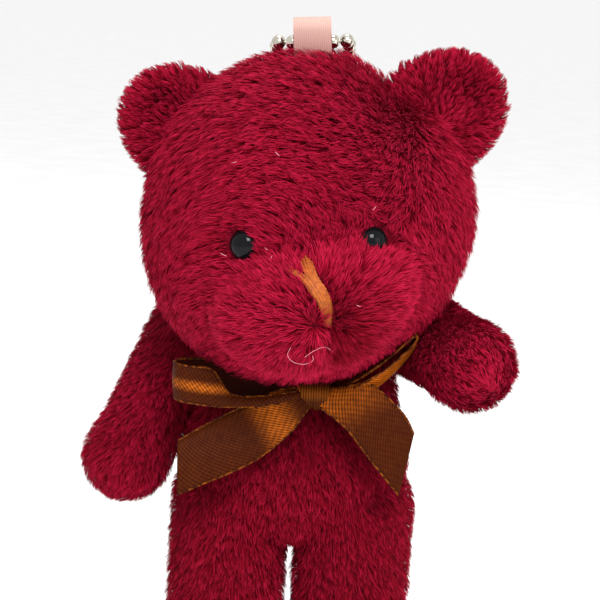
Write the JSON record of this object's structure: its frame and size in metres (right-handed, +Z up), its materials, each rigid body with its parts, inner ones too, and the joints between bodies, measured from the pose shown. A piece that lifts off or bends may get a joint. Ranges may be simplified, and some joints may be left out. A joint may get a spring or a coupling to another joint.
{
  "type": "plush keychain",
  "caption": "Small stuffed plush bear with a satin neck bow, a ribbon loop on its crown and a ball chain to hang it from a bag or keys.",
  "frame": {"origin": "on the plane of the soles, midway across the toy's bounding box", "axes": "+Z up through the standing bear, the bear looks along -Y, its own left is +X"},
  "size_m": [0.0716, 0.0583, 0.1254],
  "materials": {
    "plush": "short crimson pile",
    "stuffing": "polyester fibre filling",
    "nose_thread": "ochre embroidery thread",
    "sewing_thread": "crimson sewing thread",
    "satin_brown": "brown satin ribbon",
    "satin_pink": "pale pink satin ribbon",
    "eye_black": "polished black",
    "washer_plastic": "moulded",
    "chain_metal": "plated steel"
  },
  "bodies": {
    "torso": {"torso_skin": "plush", "torso_stuffing": "stuffing"},
    "neck": {"neck_plug": "plush", "neck_thread": "sewing_thread", "neck_ribbon": "satin_brown", "bow_knot": "satin_brown", "bow_loop_left": "satin_brown", "bow_loop_right": "satin_brown"},
    "head": {"head_skin": "plush", "head_stuffing": "stuffing", "muzzle_skin": "plush", "muzzle_stuffing": "stuffing", "nose_stitches": "nose_thread", "ear_left": "plush", "ear_right": "plush", "eye_left": "eye_black", "eye_right": "eye_black", "eye_washer_left": "washer_plastic", "eye_washer_right": "washer_plastic"},
    "arm_left": {"arm_left_skin": "plush", "arm_left_stuffing": "stuffing"},
    "arm_right": {"arm_right_skin": "plush", "arm_right_stuffing": "stuffing"},
    "leg_left": {"leg_left_skin": "plush", "leg_left_stuffing": "stuffing"},
    "leg_right": {"leg_right_skin": "plush", "leg_right_stuffing": "stuffing"},
    "bow_tail_left": {"bow_tail_left": "satin_brown"},
    "bow_tail_right": {"bow_tail_right": "satin_brown"},
    "hang_loop": {"hang_loop": "satin_pink"},
    "chain_top": {"chain_top_beads": "chain_metal", "chain_top_links": "chain_metal"},
    "chain_mid": {"chain_mid_beads": "chain_metal", "chain_mid_links": "chain_metal"},
    "chain_low": {"chain_low_beads": "chain_metal", "chain_low_links": "chain_metal", "chain_clasp": "chain_metal"}
  },
  "joints": [
    {"name": "neck_turn", "type": "hinge", "parent": "torso", "child": "neck", "pos_m": [0, 0.006, 0.068], "axis": [0, 0, 1], "range_deg": [-10, 10], "stiffness_Nm_per_rad": 0.005},
    {"name": "head_nod", "type": "hinge", "parent": "neck", "child": "head", "pos_m": [0, 0.006, 0.068], "axis": [-1, 0, 0], "range_deg": [0, 10], "stiffness_Nm_per_rad": 0.01},
    {"name": "arm_left_swing", "type": "hinge", "parent": "torso", "child": "arm_left", "pos_m": [0.0195, 0.0135, 0.07], "axis": [-1, 0, 0], "range_deg": [-105, 2], "stiffness_Nm_per_rad": 0.003},
    {"name": "arm_right_swing", "type": "hinge", "parent": "torso", "child": "arm_right", "pos_m": [-0.0195, 0.0135, 0.07], "axis": [-1, 0, 0], "range_deg": [-35, 60], "stiffness_Nm_per_rad": 0.003},
    {"name": "leg_left_swing", "type": "hinge", "parent": "torso", "child": "leg_left", "pos_m": [0.0107, 0.007, 0.042], "axis": [-1, 0, 0], "range_deg": [-15, 45], "stiffness_Nm_per_rad": 0.04},
    {"name": "leg_right_swing", "type": "hinge", "parent": "torso", "child": "leg_right", "pos_m": [-0.0107, 0.007, 0.042], "axis": [-1, 0, 0], "range_deg": [-15, 45], "stiffness_Nm_per_rad": 0.04},
    {"name": "bow_tail_left_lift", "type": "hinge", "parent": "neck", "child": "bow_tail_left", "pos_m": [0.00468, -0.0066, 0.06154], "axis": [-0.7193, 0, -0.6947], "range_deg": [0, 55]},
    {"name": "bow_tail_right_lift", "type": "hinge", "parent": "neck", "child": "bow_tail_right", "pos_m": [0.00008, -0.0066, 0.06207], "axis": [-0.5446, 0, 0.8387], "range_deg": [0, 60]},
    {"name": "loop_fold", "type": "hinge", "parent": "head", "child": "hang_loop", "pos_m": [-0.00086, -0.00105, 0.11856], "axis": [0.9969, 0, 0.0785], "range_deg": [0, 60], "stiffness_Nm_per_rad": 0.0005},
    {"name": "chain_swing", "type": "hinge", "parent": "hang_loop", "child": "chain_top", "pos_m": [-0.00106, 0.001, 0.12111], "axis": [0.9969, 0, 0.0785], "range_deg": [0, 130]},
    {"name": "chain_bend_upper", "type": "hinge", "parent": "chain_top", "child": "chain_mid", "pos_m": [-0.00076, 0.01399, 0.11724], "axis": [0.9969, 0, 0.0785], "range_deg": [0, 20]},
    {"name": "chain_bend_lower", "type": "hinge", "parent": "chain_mid", "child": "chain_low", "pos_m": [0.00046, 0.02562, 0.10179], "axis": [0.9969, 0, 0.0785], "range_deg": [0, 20]}
  ]
}
